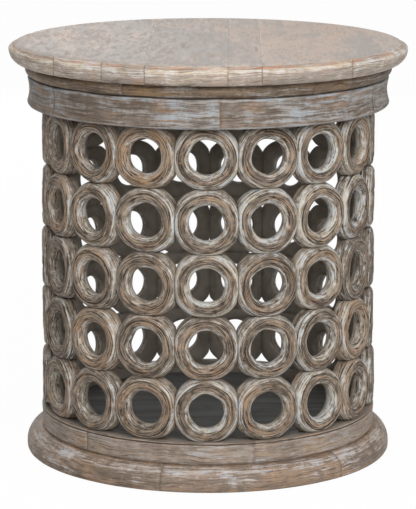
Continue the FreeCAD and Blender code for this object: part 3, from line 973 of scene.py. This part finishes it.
def top_finish():
    """The flat of the top: pale taupe with faint streaks, peach blotches and two knots."""
    colours = {
        "wood": "#b3a79f", "brown": "#9d9690", "worn": "#c0a085", "lime": "#bdb9b6", "cream": "#beafa3",
        "dark": "#968d88", "groove": "#cfb89d", "inner": "#6b5f55", "knot": "#887e7c",
    }
    knots = (
        ((-30 * MM, -69 * MM, 0), (5 * MM, 40 * MM)),
        ((58 * MM, -88 * MM, 0), (4 * MM, 48 * MM)),
    )
    return limed_wood(
        "limed_top_wood", colours, along=30, across=160, warp=3 * MM, mottle=16, streaky=0.5,
        golden=0.55, lime_range=(0.48, 0.7), bare_range=(0.4, 0.55), bump=0.3 * MM, crisp=1.5,
        scratched=0.5, varied=0.08, knots=knots,
    )


def plain_wood(name, light, dark):
    """Unlimed wood that shows little: boards inside the drum, and dowels."""
    finish = Graph(bpy.data.materials.new(name))
    grain = finish.level_grain(0)
    fine = finish.streaks(grain, along=6, across=60, seed=6.0)
    blotch = finish.patches(scale=14, seed=9.0)
    colour = finish.mix(finish.between(fine, 0.25, 0.75), linear(dark), linear(light))
    colour = finish.mix(finish.between(blotch, 0.4, 0.75), colour, linear(dark))
    return finish.close(colour, finish.between(fine, -1.5, 1.2), fine, 0.4 * MM)


def dress_nodes(names, material):
    """Give CAD nodes that keep their shape their finish."""
    for name in names:
        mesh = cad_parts[name].data
        mesh.materials.clear()
        mesh.materials.append(material)


# Camera, light and floor

CAMERA_BACK = 3.2262
CAMERA_HEIGHT = 0.9092
CAMERA_TURN = math.radians(0.55)
CAMERA_TILT = math.radians(11.688)
CAMERA_ROLL = math.radians(0.08)
CAMERA_LENS = 186.2
SENSOR_WIDTH = 36
FLOOR_REACH = 6
FLOOR_GREY = (0.8, 0.8, 0.8, 1)
FLOOR_WHITE = 0.975
WHITE = (1, 1, 1, 1)
AMBIENT = 0.34


def add_camera():
    """The photograph's viewpoint, straight in front and a little above."""
    camera = bpy.data.objects.new("camera", bpy.data.cameras.new("camera"))
    camera.data.lens = CAMERA_LENS
    camera.data.sensor_width = SENSOR_WIDTH
    sideways = CAMERA_BACK * math.sin(CAMERA_TURN)
    camera.location = (sideways, -CAMERA_BACK * math.cos(CAMERA_TURN), CAMERA_HEIGHT)
    upright = Euler((math.pi / 2 - CAMERA_TILT, 0, CAMERA_TURN)).to_matrix()
    camera.rotation_euler = (upright @ Matrix.Rotation(CAMERA_ROLL, 3, "Z")).to_euler()
    bpy.context.scene.collection.objects.link(camera)
    bpy.context.scene.camera = camera


def add_softbox(name, place, target, size, power):
    """A large square lamp that faces a point."""
    lamp = bpy.data.lights.new(name, "AREA")
    lamp.shape = "SQUARE"
    lamp.size = size
    lamp.energy = power
    holder = bpy.data.objects.new(name, lamp)
    holder.location = place
    holder.rotation_euler = (Vector(target) - Vector(place)).to_track_quat("-Z", "Y").to_euler()
    bpy.context.scene.collection.objects.link(holder)


def add_floor():
    """A white floor that keeps a faint shadow."""
    finish = Graph(bpy.data.materials.new("white_floor"))
    diffuse = finish.node("BsdfDiffuse", {"Color": FLOOR_GREY})[0]
    white = finish.node("Emission", {"Color": WHITE, "Strength": 1.0})[0]
    share = finish.calc("MULTIPLY", finish.seen_directly(), FLOOR_WHITE)
    surface = finish.node("MixShader", {0: share, 1: diffuse, 2: white})[0]
    finish.node("OutputMaterial", {"Surface": surface})
    corners = [(-1, -1), (1, -1), (1, 1), (-1, 1)]
    mesh = bpy.data.meshes.new("floor")
    mesh.from_pydata([(x * FLOOR_REACH, y * FLOOR_REACH, 0) for x, y in corners], [], [(0, 1, 2, 3)])
    mesh.materials.append(finish.owner)
    floor = bpy.data.objects.new("floor", mesh)
    bpy.context.scene.collection.objects.link(floor)


def add_world():
    """White where it is seen, and soft grey light elsewhere."""
    world = bpy.data.worlds.new("studio")
    bpy.context.scene.world = world
    sky = Graph(world)
    strength = sky.node("MapRange", {"Value": sky.seen_directly(), "To Min": AMBIENT, "To Max": 1.0})[0]
    background = sky.node("Background", {"Color": WHITE, "Strength": strength})[0]
    sky.node("OutputWorld", {"Surface": background})


# The table

add_ring_columns(ring_finish())

# CAD nodes, pieces, outline, first joint, seed of the draws, slot and finish of each moulded ring
mouldings = (
    ("apron_segment", "apron_band", apron_outline(), APRON_SEAM, 142, "apron_wood", apron_finish()),
    ("bead_segment", "apron_bead", bead_outline(), BEAD_SEAM, 118, "apron_wood", bead_finish()),
    ("plinth_segment", "plinth_band", plinth_outline(), PLINTH_SEAM, 159, "base_wood", plinth_finish()),
    ("foot_segment", "foot_bullnose", foot_outline(), FOOT_SEAM, 224, "base_wood", foot_finish()),
)
for moulding in mouldings:
    add_ring_of_segments(*moulding)

add_top_boards(top_finish(), nose_finish())
dress_nodes(nodes_named("floor_board"), plain_wood("dark_floor_wood", "#8b8d8e", "#656361"))
dowel_nodes = ("column_dowels", "side_dowels", "top_tie_dowels", "base_tie_dowels")
dress_nodes(dowel_nodes, plain_wood("pale_dowel_wood", "#c3a176", "#a17f58"))

add_camera()
add_floor()
add_world()
add_softbox("front_softbox", place=(0.7, -2.95, 2.0), target=(0, 0, 0.25), size=2.2, power=96)
add_softbox("top_softbox", place=(0.2, -0.6, 2.6), target=(0, 0, 0.5), size=1.8, power=11.5)
add_softbox("back_softbox", place=(-0.9, 2.7, 1.2), target=(0, 0, 0.25), size=1.8, power=22)
bpy.context.scene.view_settings.view_transform = "Standard"
